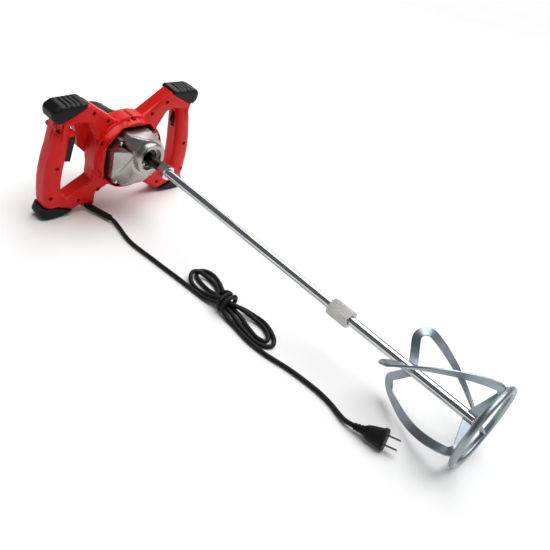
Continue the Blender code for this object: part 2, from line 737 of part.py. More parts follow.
def paddle(tool):
    look = (ZINC, 0.35, 1.0)
    clear = turned([(-580, ROD_RADIUS + GAP), (-720, ROD_RADIUS + GAP)], SPINDLE_AXIS, 24)
    rod_clearance = cutter("rod_clearance", clear, tool)
    section = circle((RING_Y, RING_RADIUS), RING_BAR, 10)
    place("paddle_ring", collar([tuple(p) for p in section], SPINDLE_AXIS, 40), look, tool)
    section = circle((RING_Y, RING_RADIUS), RING_BAR + GAP, 10)
    ring_clearance = cutter("ring_clearance", collar([tuple(p) for p in section], SPINDLE_AXIS, 40), tool)
    for word, start in BLADE_STARTS.items():
        made = place(f"{word}_blade", blade(start), look, tool)
        boolean(made, rod_clearance)
        boolean(made, ring_clearance)


def smooth_curve(route, steps=12):
    """Closely spaced points on the Catmull-Rom curve through the route."""
    points = [Vector(p) for p in route]
    points = [2 * points[0] - points[1]] + points + [2 * points[-1] - points[-2]]
    fine = []
    for a, b, c, d in zip(points, points[1:], points[2:], points[3:]):
        square, cube = 2 * a - 5 * b + 4 * c - d, 3 * b - a - 3 * c + d
        for k in range(steps):
            t = k / steps
            fine.append((2 * b + (c - a) * t + square * t**2 + cube * t**3) / 2)
    return fine + [points[-2]]


def evenly_spread(line, count):
    """Count points at equal distances along the line."""
    runs = [0.0]
    for near, far in zip(line, line[1:]):
        runs.append(runs[-1] + (far - near).length)
    spread = []
    for k in range(count):
        goal = runs[-1] * k / (count - 1)
        i = max(1, next(n for n, run in enumerate(runs) if run >= goal - 1e-9))
        spread.append(line[i - 1].lerp(line[i], (goal - runs[i - 1]) / (runs[i] - runs[i - 1])))
    return spread


def tube_along(name, route, count, radii, parent, look, resolution=2):
    """A round tube on the smooth curve through the route, its radius running evenly through radii."""
    curve = bpy.data.curves.new(name, "CURVE")
    curve.dimensions = "3D"
    curve.bevel_depth = MM
    curve.bevel_resolution = resolution
    curve.use_fill_caps = True
    spline = curve.splines.new("POLY")
    spline.points.add(count - 1)
    for i, point in enumerate(evenly_spread(smooth_curve(route), count)):
        spline.points[i].co = (*(point * MM), 1)
        place_on = (len(radii) - 1) * i / (count - 1)
        low = min(int(place_on), len(radii) - 2)
        spline.points[i].radius = radii[low] + (radii[low + 1] - radii[low]) * (place_on - low)
    made = bpy.data.objects.new(name, curve)
    bpy.context.scene.collection.objects.link(made)
    made.parent = parent
    curve.materials.append(material(name, *look))


# The cord: its sleeve in the tool's frame, and its two free runs and its tied winding on the floor
RELIEF_ROUTE = [
    (-62, 12, -107),
    (-62, 11.5, -112.5),
    (-61, 6, -116.6),
    (-58.5, -6, -117.2),
    (-54.5, -22, -116.6),
    (-49, -46, -114.6),
]
RELIEF_RADII = (6.4, 6.4, 6.2, 5.6, 5.2)
LEAD_ROUTE = [
    (-48.75, 267.3, 6.5),
    (-48, 257, 4.6),
    (-50.5, 243, 3.6),
    (-55, 226, 3.5),
    (-59.5, 208, 3.5),
    (-62, 188, 3.5),
    (-62, 165, 3.5),
    (-61.3, 140, 3.5),
    (-61, 115, 3.5),
    (-60.5, 84.4, 3.5),
]
TAIL_ROUTE = [
    (-73, -124.4, 3.5),
    (-71, -140, 3.5),
    (-68, -160, 3.5),
    (-66.3, -182, 3.5),
    (-66, -205, 3.5),
    (-67, -226, 3.5),
    (-70.5, -246, 3.5),
    (-76, -263, 4.2),
    (-80, -277, 5.8),
    (-80.1, -289.8, 8.1),
]
HANK_OUTLINE = [
    (-74, 84, 9),
    (-16, 84, 14),
    (-2, 73, 10),
    (-2, 51, 30),
    (-22, -11, 20),
    (-24, -33, 20),
    (-17, -73, 20),
    (-28, -109, 16),
    (-48, -124, 12),
    (-88, -124, 9),
    (-80, -81, 20),
    (-62, -33, 20),
    (-62, -11, 20),
    (-64, 39, 20),
]
HANK_STEPS = [(0.1, 5), (2.5, 1), (6, 0), (9, 0), (14, 2.5), (17, 8)]
PLUG_AT = (-78.4, -298.8, 9.3)
PLUG_ANGLES = (38, -8, -78)
PLUG_STATIONS = [
    (-8, 4.6, 4.6),
    (6, 5.6, 5.6),
    (9, 9, 7.5),
    (26, 12.5, 9),
    (30, 13.2, 9.4),
    (31, 14.6, 10.6),
    (36, 14.6, 10.6),
]


def cord(stand, tool):
    black = (BLACK, 0.5, 0.0)
    tube_along("strain_relief", RELIEF_ROUTE, 16, RELIEF_RADII, tool, (RUBBER, 0.6, 0.0), 3)
    tube_along("cord_lead", LEAD_ROUTE, 18, (CORD_RADIUS, CORD_RADIUS), stand, black)
    tube_along("cord_tail", TAIL_ROUTE, 16, (CORD_RADIUS, CORD_RADIUS), stand, black)
    outline = rounded(HANK_OUTLINE, 3)
    bm = bmesh.new()
    rings = []
    for z, inset in HANK_STEPS:
        rings.append([bm.verts.new((p.x, p.y, z)) for p in offset(outline, inset)])
    place("cord_hank", skinned(rings, bm), black, stand)


def plug(stand):
    """A two-blade plug resting on its shoulder, drawn along +X and then laid on the floor."""
    pose = empty("plug_pose", PLUG_AT, stand)
    pose.rotation_euler = [math.radians(angle) for angle in PLUG_ANGLES]
    bm = bmesh.new()
    rings = []
    for x, wide, tall in PLUG_STATIONS:
        ring = []
        for p in circle((0, 0), 1, 24):
            y, z = (math.copysign(abs(share) ** 0.7, share) for share in p)
            ring.append(bm.verts.new((x, wide * y, tall * z)))
        rings.append(ring)
    place("plug_body", skinned(rings, bm), (RUBBER, 0.5, 0.0), pose)
    face = PLUG_STATIONS[-1][0] + GAP
    for side, word in SIDES:
        y = side * 6.35
        blade_bar = block((face, y - 0.75, -3.15), (face + 17, y + 0.75, 3.15), 0.5)
        place(f"{word}_plug_blade", blade_bar, (ZINC, 0.3, 1.0), pose)


def main():
    clear_scene()
    stand = empty("stand")
    tool = empty("tool", FLOOR_SHIFT, stand)
    tool.rotation_euler.x = TILT
    casing(tool)
    bumpers(tool)
    casing_screws(tool)
    controls(tool)
    lay = lay_axis()
    to_lay = angle_between(MOTOR_AXIS, lay)
    to_spindle = angle_between(lay, SPINDLE_AXIS)
    armature(tool, to_lay)
    motor_frame(tool)
    lay_gears(tool, lay, to_lay, to_spindle)
    output_shaft(tool, to_spindle)
    circlip(tool)
    gearbox(tool, lay)
    gearbox_screws(tool)
    motor_cover(tool)
    brushes(tool)
    rods(tool)
    paddle(tool)
    cord(stand, tool)
    plug(stand)


main()
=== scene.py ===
"""A two-handled electric paint mixer lying on its bumpers and paddle ring, its cord folded in front."""

import math

import bmesh
import bpy
from mathutils import Euler, Matrix, Vector


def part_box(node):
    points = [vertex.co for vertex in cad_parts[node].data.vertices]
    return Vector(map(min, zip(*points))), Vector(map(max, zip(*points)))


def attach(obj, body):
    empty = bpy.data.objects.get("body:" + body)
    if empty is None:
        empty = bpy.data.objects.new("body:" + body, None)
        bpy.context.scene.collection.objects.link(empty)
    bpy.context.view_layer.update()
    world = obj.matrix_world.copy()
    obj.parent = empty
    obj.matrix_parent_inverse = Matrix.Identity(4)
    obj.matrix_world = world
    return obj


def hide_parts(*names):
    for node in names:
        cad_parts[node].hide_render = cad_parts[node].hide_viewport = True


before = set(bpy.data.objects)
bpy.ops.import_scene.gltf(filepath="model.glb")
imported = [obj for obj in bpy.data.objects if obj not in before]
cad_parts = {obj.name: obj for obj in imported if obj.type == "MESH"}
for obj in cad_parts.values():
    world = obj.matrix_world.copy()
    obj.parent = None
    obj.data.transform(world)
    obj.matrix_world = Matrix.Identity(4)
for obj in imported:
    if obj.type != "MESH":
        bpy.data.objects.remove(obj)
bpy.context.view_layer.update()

# The tool is drawn in millimetres with the spindle along -Y and X across the handles, then tipped forward
# by TILT, so that its lower bumpers and its paddle ring both come to CLEARANCE above the floor
MM = 0.001
RING_RADIUS = 58.7
RING_BAR = 4.6
RING_Y = -722
LOWEST_BUMPER = -126
BUMPER_CONTACT_Y = 4
CLEARANCE = 0.05
TILT = math.atan2(-LOWEST_BUMPER - RING_RADIUS - RING_BAR, BUMPER_CONTACT_Y - RING_Y)
FLOOR_Z = -RING_Y * math.sin(TILT) + RING_RADIUS * math.cos(TILT) + RING_BAR + CLEARANCE
FLOOR_SHIFT = Vector((0, 304.7, FLOOR_Z)) * MM
TOOL = Matrix.Translation(FLOOR_SHIFT) @ Matrix.Rotation(TILT, 4, "X") @ Matrix.Scale(MM, 4)
FLOOR = Matrix.Scale(MM, 4)


# ---------------------------------------------------------------- materials


class Look:
    """A node material with short ways to add noise, ramps and bump."""

    def __init__(self, name):
        self.material = bpy.data.materials.new(name)
        self.material.use_nodes = True
        self.tree = self.material.node_tree
        self.shader = self.tree.nodes["Principled BSDF"]
        self.place = self.tree.nodes.new("ShaderNodeTexCoord").outputs["Object"]

    def set(self, **values):
        for name, value in values.items():
            self.shader.inputs[name.replace("_", " ")].default_value = value

    def link(self, output, name):
        self.tree.links.new(output, self.shader.inputs[name])

    def stretched(self, scale, turn):
        node = self.tree.nodes.new("ShaderNodeMapping")
        node.inputs["Scale"].default_value = scale
        node.inputs["Rotation"].default_value = turn
        self.tree.links.new(self.place, node.inputs["Vector"])
        return node.outputs["Vector"]

    def noise(self, scale, detail=3.0, rough=0.5, place=None):
        node = self.tree.nodes.new("ShaderNodeTexNoise")
        node.inputs["Scale"].default_value = scale
        node.inputs["Detail"].default_value = detail
        node.inputs["Roughness"].default_value = rough
        self.tree.links.new(place or self.place, node.inputs["Vector"])
        return node.outputs["Fac"]

    def ramp(self, value, *stops):
        node = self.tree.nodes.new("ShaderNodeValToRGB")
        marks = node.color_ramp.elements
        while len(marks) < len(stops):
            marks.new(0.5)
        for mark, (at, colour) in zip(marks, stops):
            mark.position = at
            mark.color = (*colour, 1)
        self.tree.links.new(value, node.inputs["Fac"])
        return node.outputs["Color"]

    def span(self, value, low, high):
        """Low to high as the noise goes from 0.3 to 0.7, which holds nearly all of it."""
        node = self.tree.nodes.new("ShaderNodeMapRange")
        for name, number in (("From Min", 0.3), ("From Max", 0.7), ("To Min", low), ("To Max", high)):
            node.inputs[name].default_value = number
        self.tree.links.new(value, node.inputs["Value"])
        return node.outputs["Result"]

    def mix(self, share, first, second):
        """A mix of two colours; the node's colour sockets are its inputs 6 and 7 and its output 2."""
        node = self.tree.nodes.new("ShaderNodeMix")
        node.data_type = "RGBA"
        for index, value in ((0, share), (6, first), (7, second)):
            self.tree.links.new(value, node.inputs[index])
        return node.outputs[2]

    def bump(self, height, distance, strength, after=None):
        node = self.tree.nodes.new("ShaderNodeBump")
        node.inputs["Distance"].default_value = distance
        node.inputs["Strength"].default_value = strength
        self.tree.links.new(height, node.inputs["Height"])
        if after:
            self.tree.links.new(after, node.inputs["Normal"])
        return node.outputs["Normal"]


def plastic(name, dark, light, low, high, grain=2600, depth=0.00004):
    """Moulded plastic: faint mottling, patchy gloss and a fine spark-eroded grain."""
    look = Look(name)
    broad = look.noise(38, 4)
    look.link(look.ramp(broad, (0.3, dark), (0.7, light)), "Base Color")
    look.link(look.span(look.noise(160, 5), low, high), "Roughness")
    fine = look.bump(look.noise(grain, 2), depth, 0.6)
    look.link(look.bump(look.noise(90, 2), 0.00012, 0.25, fine), "Normal")
    return look


def metal(name, dark, light, low, high, along=(1, 1, 1), grain=1500, depth=0.00003, tint=None):
    """Plated or cast metal: cloudy colour, streaks along the work and fine pits."""
    look = Look(name)
    place = look.stretched(along, (-TILT, 0, 0))
    colour = look.ramp(look.noise(60, 5, 0.6, place), (0.3, dark), (0.7, light))
    if tint:
        shade = look.ramp(look.noise(48, 2, 0.5), *tint)
        colour = look.mix(look.span(look.noise(23, 2), 0.1, 0.75), colour, shade)
    look.link(colour, "Base Color")
    look.link(look.span(look.noise(420, 4, 0.6, place), low, high), "Roughness")
    look.link(look.bump(look.noise(grain, 3, 0.6, place), depth, 0.7), "Normal")
    look.set(Metallic=1.0)
    return look


RED = plastic("red_casing", (0.62, 0.008, 0.006), (0.72, 0.012, 0.008), 0.3, 0.42)
RED.set(Specular_IOR_Level=0.22)
RUBBER = plastic("bumper_rubber", (0.003, 0.003, 0.003), (0.008, 0.008, 0.008), 0.34, 0.48, 1900, 0.00006)
RUBBER.set(Specular_IOR_Level=0.2)
BLACK = plastic("black_plastic", (0.006, 0.006, 0.006), (0.012, 0.012, 0.012), 0.3, 0.48)
BLACK.set(Specular_IOR_Level=0.2)
JACKET = plastic("cord_jacket", (0.005, 0.005, 0.005), (0.01, 0.01, 0.01), 0.45, 0.62, 1400, 0.00008)
JACKET.set(Specular_IOR_Level=0.22)
PLUG = plastic("plug_plastic", (0.005, 0.005, 0.005), (0.01, 0.01, 0.01), 0.4, 0.55, 1600, 0.00007)
PLUG.set(Specular_IOR_Level=0.2)
CAST = metal("cast_aluminium", (0.33, 0.32, 0.31), (0.46, 0.45, 0.43), 0.24, 0.36, (1, 1, 1), 1100, 0.00003)
STEEL = metal("turned_steel", (0.42, 0.41, 0.4), (0.6, 0.59, 0.57), 0.2, 0.36, (1, 6, 6), 900)
OXIDE = metal("black_oxide", (0.03, 0.03, 0.03), (0.07, 0.065, 0.06), 0.28, 0.45)
COPPER = metal("copper", (0.5, 0.2, 0.09), (0.66, 0.29, 0.14), 0.25, 0.4)
CARBON = plastic("carbon", (0.02, 0.02, 0.02), (0.04, 0.04, 0.04), 0.6, 0.8)
NUT = metal("zinc_nut", (0.44, 0.47, 0.5), (0.62, 0.65, 0.68), 0.1, 0.22, depth=0.000004,
            tint=((0.3, (0.62, 0.66, 0.78)), (0.7, (0.86, 0.88, 0.84))))
ROD = metal("zinc_rod", (0.42, 0.45, 0.48), (0.56, 0.59, 0.61), 0.08, 0.16, (9, 0.6, 9), 700, 0.000003,
            ((0.3, (0.46, 0.49, 0.56)), (0.55, (0.62, 0.64, 0.66)), (0.75, (0.58, 0.57, 0.5))))
COUPLING = metal("zinc_coupling", (0.34, 0.33, 0.31), (0.44, 0.43, 0.41), 0.22, 0.3, (3, 1, 3), 800,
                 0.000006)
PADDLE = metal("zinc_paddle", (0.2, 0.24, 0.27), (0.32, 0.37, 0.41), 0.28, 0.42, (1, 1, 1), 900, 0.000015,
               ((0.32, (0.34, 0.34, 0.42)), (0.5, (0.36, 0.43, 0.48)), (0.68, (0.34, 0.43, 0.4))))
WELD = metal("weld_bead", (0.2, 0.19, 0.22), (0.46, 0.47, 0.46), 0.3, 0.6, grain=500, depth=0.0003)
PRONG = metal("plug_blade", (0.05, 0.05, 0.05), (0.1, 0.1, 0.1), 0.3, 0.45)


# ---------------------------------------------------------------- mesh helpers


def paint(thing, look):
    thing.data.materials.clear()
    thing.data.materials.append(look.material)


def smooth(thing, angle=35):
    for face in thing.data.polygons:
        face.use_smooth = True
    thing.data.set_sharp_from_angle(angle=math.radians(angle))


def bevelled(thing, width, segments=3, angle=30):
    modifier = thing.modifiers.new("rounding", "BEVEL")
    modifier.width = width * MM
    modifier.segments = segments
    modifier.limit_method = "ANGLE"
    modifier.angle_limit = math.radians(angle)
    modifier.harden_normals = True
    modifier.use_clamp_overlap = True


# The handles' rounded front edges, just under their skin
HANDLE_SIDE = 134.96
HANDLE_FRONT = 2.55
HANDLE_ROUNDING = 11
OUTER_BOSS = (130.5, 35)
OUTER_BOSS_RADIUS = 5.3
# The barrel round the motor gets narrower behind BARREL_STEP
BARREL_RADIUS = 65.5
BARREL_STEP = 24
BARREL_TAPER = 0.8125
MOTOR_AXIS_Z = -19
TOP_BOSS = (0, 43)
TOP_BOSS_RADIUS = 5
SUNK = 0.1
# A web's upper corner comes down to a line through WEB_CORNER, an (x, z) place
WEB_ACROSS = (53, 60)
WEB_FRONT = 29
WEB_BOTTOM = 46
WEB_CORNER = (54, 46.9)
WEB_SLOPE = 1.05


def sunk_bosses(bm):
    """Brings the screw bosses and the webs' corners down to the casing's rounded outside."""
    into_tool = TOOL.inverted()
    for vert in bm.verts:
        place = into_tool @ vert.co
        across = abs(place.x)
        from_outer = (across - OUTER_BOSS[0]) ** 2 + (place.z - OUTER_BOSS[1]) ** 2
        if from_outer < OUTER_BOSS_RADIUS**2 and place.y < 9:
            share = min(1, max(0, 1 - (HANDLE_SIDE - across) / HANDLE_ROUNDING))
            place.y = max(place.y, HANDLE_FRONT + HANDLE_ROUNDING * (1 - math.sqrt(1 - share**2)))
            place.x = math.copysign(min(across, HANDLE_SIDE - 0.16), place.x)
        from_top = (place.x - TOP_BOSS[0]) ** 2 + (place.z - TOP_BOSS[1]) ** 2
        if from_top < TOP_BOSS_RADIUS**2 and place.y > BARREL_STEP - 1:
            radius = BARREL_RADIUS - BARREL_TAPER * (place.y - BARREL_STEP)
            place.z = min(place.z, MOTOR_AXIS_Z - SUNK + math.sqrt(radius**2 - place.x**2))
        if WEB_ACROSS[0] < across < WEB_ACROSS[1] and place.y > WEB_FRONT and place.z > WEB_BOTTOM:
            place.z = min(place.z, WEB_CORNER[1] + WEB_SLOPE * (across - WEB_CORNER[0]))
        vert.co = TOOL @ place


def refined(name, look, body="casing", width=0.7, segments=3, angle=30):
    """The node's own shape again with its vertices joined, so that its edges can be rounded."""
    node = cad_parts[name]
    bm = bmesh.new()
    bm.from_mesh(node.data)
    bmesh.ops.transform(bm, matrix=node.matrix_world, verts=bm.verts)
    bmesh.ops.remove_doubles(bm, verts=bm.verts, dist=2e-6)
    if name in ("front_housing", "rear_housing"):
        sunk_bosses(bm)
    bmesh.ops.dissolve_limit(bm, angle_limit=math.radians(1), verts=bm.verts, edges=bm.edges)
    made = piece(name + "_form", bm, look, body, Matrix.Identity(4), angle, (name,))
    bevelled(made, width, segments, angle)
    return made


def piece(name, bm, look, body, space=TOOL, angle=35, instead_of=()):
    """Adds bm, drawn in millimetres in that space, as a piece that rides on a body."""
    bmesh.ops.recalc_face_normals(bm, faces=bm.faces)
    bmesh.ops.transform(bm, matrix=space, verts=bm.verts)
    mesh = bpy.data.meshes.new(name)
    bm.to_mesh(mesh)
    bm.free()
    made = bpy.data.objects.new(name, mesh)
    bpy.context.scene.collection.objects.link(made)
    paint(made, look)
    smooth(made, angle)
    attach(made, body)
    if instead_of:
        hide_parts(*instead_of)
    return made


def skinned(bm, rings, closed=False):
    """Faces between rings of vertices with the same count, and over both ends unless it's closed."""
    count = len(rings[0])
    pairs = list(zip(rings, rings[1:])) + ([(rings[-1], rings[0])] if closed else [])
    for near, far in pairs:
        for i in range(count):
            bm.faces.new((near[i - 1], near[i], far[i], far[i - 1]))
    if not closed:
        bm.faces.new(rings[0])
        bm.faces.new(rings[-1])
    return bm


def turned(profile, count, closed=False):
    """A solid of revolution about Y, from (y, radius) stations."""
    bm = bmesh.new()
    rings = []
    for y, radius in profile:
        ring = []
        for k in range(count):
            angle = 2 * math.pi * k / count
            ring.append(bm.verts.new((radius * math.cos(angle), y, radius * math.sin(angle))))
        rings.append(ring)
    return skinned(bm, rings, closed)


def curve_points(route, steps=12):
    """Closely spaced points on the Catmull-Rom curve through the route."""
    points = [Vector(p) for p in route]
    points = [2 * points[0] - points[1]] + points + [2 * points[-1] - points[-2]]
    fine = []
    for a, b, c, d in zip(points, points[1:], points[2:], points[3:]):
        square, cube = 2 * a - 5 * b + 4 * c - d, 3 * b - a - 3 * c + d
        for k in range(steps):
            t = k / steps
            fine.append((2 * b + (c - a) * t + square * t**2 + cube * t**3) / 2)
    return fine + [points[-2]]


# ---------------------------------------------------------------- the cord

CORD_RADIUS = 3.4
LEAD = [
    (-48.75, 267.3, 6.5), (-48, 257, 4.6), (-50.5, 243, 3.6), (-55, 226, 3.5), (-59.5, 208, 3.5),
    (-62, 188, 3.5), (-62, 165, 3.5), (-61.3, 140, 3.5), (-61, 115, 3.5), (-60.2, 84, 3.5),
    (-60, 50, 3.5), (-60, 20, 4.2), (-58.5, 4, 7.4), (-55.5, -10, 10), (-54, -22, 10.2),
    (-54.5, -34, 9.2), (-56.5, -48, 5.5),
]
FIRST_FOLD = [
    (-60, -64, 3.6), (-63.5, -80, 3.5), (-66, -97, 3.5), (-62.5, -111, 3.5), (-52, -118.5, 3.5),
    (-39, -111, 3.5), (-28, -93, 3.5), (-22.5, -75, 3.5), (-23.5, -56, 3.8), (-31, -39, 8),
    (-38.5, -27, 10.1), (-40, -18, 10.2),
]
FIRST_LOOP = [
    (-35, -5, 8.0), (-25, 11, 3.9), (-13, 32, 3.5), (-6, 53, 3.5), (-8, 69, 3.5), (-19, 76, 3.5),
    (-30.5, 68, 3.5), (-37, 50, 3.5), (-40.5, 28, 4.2), (-43, 9, 8.4), (-46.8, -8, 10.2),
    (-47, -20, 10.2), (-46.2, -32, 9.8),
]
SECOND_FOLD = [
    (-46.5, -48, 6.5), (-50, -64, 3.8), (-54.5, -80, 3.5), (-57, -93, 3.5), (-54, -105, 3.6),
    (-45, -104.5, 3.6), (-36, -94, 3.5), (-30.5, -77, 3.6), (-32, -59, 6.5), (-38, -44, 12.4),
    (-45, -32, 16.6), (-50, -20, 17.1),
]
SECOND_LOOP = [
    (-51.5, -7, 15.5), (-52.3, 8, 10), (-52.8, 24, 4.8), (-53, 42, 3.6), (-50, 57, 4.4),
    (-44, 67.5, 8), (-35, 72.5, 10.4), (-26.5, 69.5, 10), (-21, 60, 6), (-19, 47, 3.6),
    (-23, 29, 3.5), (-32.6, 14, 5.0), (-36, 6, 11.5), (-36.5, -3, 19.5),
]
TAIL = [
    (-65, -42, 4.2), (-66, -52, 3.5), (-68.5, -66, 3.5), (-71.5, -82, 3.5), (-73.5, -100, 3.5),
    (-73, -124.4, 3.5), (-71, -140, 3.5), (-68, -160, 3.5), (-66.3, -182, 3.5), (-66, -205, 3.5),
    (-67, -226, 3.5), (-70.5, -246, 3.5), (-76, -263, 4.2), (-80, -277, 5.8), (-80.1, -289.8, 8.1),
]


# The wrap starts at WRAP_CENTRE's y and each point moves it on by WRAP_ADVANCE; its angles are in degrees
WRAP_CENTRE = (-47, -12.5, 13.7)
WRAP_HALF_WIDTH = 15.2
WRAP_HALF_HEIGHT = 10.4
WRAP_POINTS = 15
WRAP_START = 52
WRAP_STEP = 36
WRAP_ADVANCE = 0.86


def wrap():
    """Nearly one and a half turns round the hank's waist, as points on a flattened ring."""
    turns = []
    for k in range(WRAP_POINTS):
        angle = math.radians(WRAP_START + k * WRAP_STEP)
        across, up = math.cos(angle), math.sin(angle)
        x = WRAP_CENTRE[0] + WRAP_HALF_WIDTH * math.copysign(abs(across) ** 0.8, across)
        z = WRAP_CENTRE[2] + WRAP_HALF_HEIGHT * math.copysign(abs(up) ** 0.85, up)
        turns.append((x, WRAP_CENTRE[1] - WRAP_ADVANCE * k, z))
    return turns


def swept(line, radii, count):
    """A round tube along the line, without twist, with flat ends; radii is one radius or a list."""
    bm = bmesh.new()
    across = Vector((0, 0, 1))
    rings = []
    for i, point in enumerate(line):
        ahead = (line[min(i + 1, len(line) - 1)] - line[max(i - 1, 0)]).normalized()
        across = (across - ahead * across.dot(ahead)).normalized()
        side = ahead.cross(across)
        radius = radii[i] if isinstance(radii, list) else radii
        ring = []
        for k in range(count):
            angle = 2 * math.pi * k / count
            ring.append(bm.verts.new(point + (across * math.cos(angle) + side * math.sin(angle)) * radius))
        rings.append(ring)
    return skinned(bm, rings)


def cord(plug_pieces):
    route = LEAD + FIRST_FOLD + FIRST_LOOP + SECOND_FOLD + SECOND_LOOP + wrap() + TAIL
    line = curve_points(route, 8)
    tube = swept(line, CORD_RADIUS, 16)
    made = piece("cord", tube, JACKET, "casing", FLOOR, 60,
                 ("cord_lead", "cord_tail", "cord_hank"))


# ---------------------------------------------------------------- the casing


def arc(before, corner, after, segments):
    """Points on the arc that replaces a corner with a radius, between its two neighbours."""
    here = Vector(corner[:2])
    radius = corner[2]
    back = (Vector(before[:2]) - here).normalized()
    ahead = (Vector(after[:2]) - here).normalized()
    half = back.angle(ahead) / 2
    reach = radius / math.tan(half)
    centre = here + (back + ahead).normalized() * radius / math.sin(half)
    first, last = here + back * reach - centre, here + ahead * reach - centre
    turn = math.atan2(first.cross(last), first.dot(last)) / segments
    return [centre + Matrix.Rotation(turn * k, 2) @ first for k in range(segments + 1)]


def rounded(corners):
    """An outline from (x, z, radius) corners, each one with a radius replaced by an arc."""
    outline = []
    for i, corner in enumerate(corners):
        if corner[2]:
            outline += arc(corners[i - 1], corner, corners[(i + 1) % len(corners)], 8)
        else:
            outline.append(Vector(corner[:2]))
    return outline


def evenly(outline, spacing):
    """The closed outline with extra points so that none are further apart than the spacing."""
    points = []
    for near, far in zip(outline, outline[1:] + outline[:1]):
        parts = max(1, round((far - near).length / spacing))
        points += [near.lerp(far, k / parts) for k in range(parts)]
    return points


# The bumpers' outlines, as (x, z, radius), and the top ones' four grooves
TOP_BUMPER = [
    (83, 74.4, 0), (86, 79.6, 4), (133, 78, 10), (146.5, 70, 9), (144.5, 56, 7), (136, 48.6, 0),
    (133, 50, 0),
]
BOTTOM_BUMPER = [
    (90.5, -118.2, 0), (103, -122.5, 7), (124, LOWEST_BUMPER, 10), (143, LOWEST_BUMPER, 10),
    (152, -118, 8), (146.5, -103.4, 0), (133, -102.7, 0),
]
GROOVES = (99, 107, 115, 123)
GROOVE_DEPTH = 1.7
GROOVE_HALF_WIDTH = 1.05
GROOVED_ABOVE = 72
BUMPER_FRONT = -1.2
BUMPER_BACK = 37.2
BUMPER_ROUNDING = 9.5
BUMPER_REACH = 34


def bumper(name, corners, side, grooved):
    """A block with the outline of its corners, rounded at the front and the back."""
    outline = evenly(rounded(corners), 1.6)
    inner = (Vector(corners[0][:2]) + Vector(corners[-1][:2])) / 2
    bm = bmesh.new()
    rings = []
    steps = 32
    for step in range(steps + 1):
        angle = math.pi * step / steps
        y = BUMPER_FRONT + (BUMPER_BACK - BUMPER_FRONT) * (1 - math.cos(angle)) / 2
        depth = max(0, BUMPER_ROUNDING - min(y - BUMPER_FRONT, BUMPER_BACK - y))
        inset = BUMPER_ROUNDING - math.sqrt(max(0, BUMPER_ROUNDING**2 - depth**2))
        ring = []
        for point in outline:
            place = inner + (point - inner) * (1 - inset / BUMPER_REACH)
            if grooved and point.y > GROOVED_ABOVE:
                for groove in GROOVES:
                    place.y -= GROOVE_DEPTH * math.exp(-(((place.x - groove) / GROOVE_HALF_WIDTH) ** 4))
            ring.append(bm.verts.new((side * place.x, y, place.y)))
        rings.append(ring)
    skinned(bm, rings)
    return piece(name + "_form", bm, RUBBER, "casing", angle=50, instead_of=(name,))


SCREW_HEAD_Y = 9.0
TOP_SCREW_Y = 4.0
# Where a screw's head goes, on both sides, as (x, z), and its own (depth, radius) stations
SCREWS = [(73, 60), (82.8, -100), (44.7, 42.6), (46, -86), (130.5, -28), (137, -82.5), (130.5, 35)]

SCREW_STATIONS = [(3.0, 3.3), (0.9, 3.3), (0.35, 3.0), (0.05, 2.2), (0, 1.2)]
RECESS_RADIUS = 2.3
RECESS_DEPTH = 0.9


def screw(bm, x, z, y):
    """A pan head with a cross recess, its top at y and its shank behind that."""
    rings = []
    for depth, radius in SCREW_STATIONS:
        ring = []
        for k in range(24):
            angle = 2 * math.pi * k / 24
            slot = RECESS_DEPTH if radius < RECESS_RADIUS and k % 6 == 0 else 0
            across, up = radius * math.cos(angle), radius * math.sin(angle)
            ring.append(bm.verts.new((x + across, y + depth + slot, z + up)))
        rings.append(ring)
    return skinned(bm, rings)


def casing():
    for name in ("front_housing", "rear_housing"):
        refined(name, RED, width=0.9)
    for side, word in ((-1, "left"), (1, "right")):
        bumper(f"top_{word}_bumper", TOP_BUMPER, side, True)
        bumper(f"bottom_{word}_bumper", BOTTOM_BUMPER, side, False)
    refined("motor_cover", BLACK, width=0.7)
    bm = bmesh.new()
    for x, z in SCREWS:
        for side in (-1, 1):
            screw(bm, side * x, z, SCREW_HEAD_Y)
    screw(bm, *TOP_BOSS, TOP_SCREW_Y)
    piece("casing_screws", bm, OXIDE, "casing",
          instead_of=[f"casing_screw_{k}" for k in range(1, 9)])


def hulled(name, corners, look, body, width, instead_of=()):
    """The solid around the corners, with rounded edges."""
    bm = bmesh.new()
    for corner in corners:
        bm.verts.new(corner)
    bmesh.ops.convex_hull(bm, input=bm.verts)
    bmesh.ops.dissolve_limit(bm, angle_limit=0.02, verts=bm.verts, edges=bm.edges)
    made = piece(name, bm, look, body, instead_of=instead_of)
    bevelled(made, width, 4)
    return made


# The corners of the trigger, which leans with its handle, and of the red guard above it
TRIGGER = [
    (-119, 4, -20.5), (-104.4, 4, -23), (-113.6, 4, 20.2), (-98.9, 4, 20.2), (-119, 27, -20.5),
    (-104.4, 27, -23), (-113.6, 27, 20.2), (-98.9, 27, 20.2),
]
GUARD = [
    (-116.9, -0.6, 27.2), (-101.9, 0, 27.4), (-114, 4, 21.6), (-99.8, 4, 21.6), (-122, 4, 34.5),
    (-107.4, 4, 33.1), (-114, 26, 21.6), (-99.8, 26, 21.6), (-120, 26, 33), (-103.1, 26, 29.2),
]
DIAL_CENTRE = (117.5, 16)
DIAL_KNURLS = 36
# The dial's (y, radius, depth of knurl)
DIAL_STATIONS = [
    (14.6, 11.2, 0), (14.9, 12.4, 0.5), (15.5, 13, 0.8), (20.5, 13, 0.8), (21.1, 12.4, 0.5), (21.4, 11.2, 0),
]


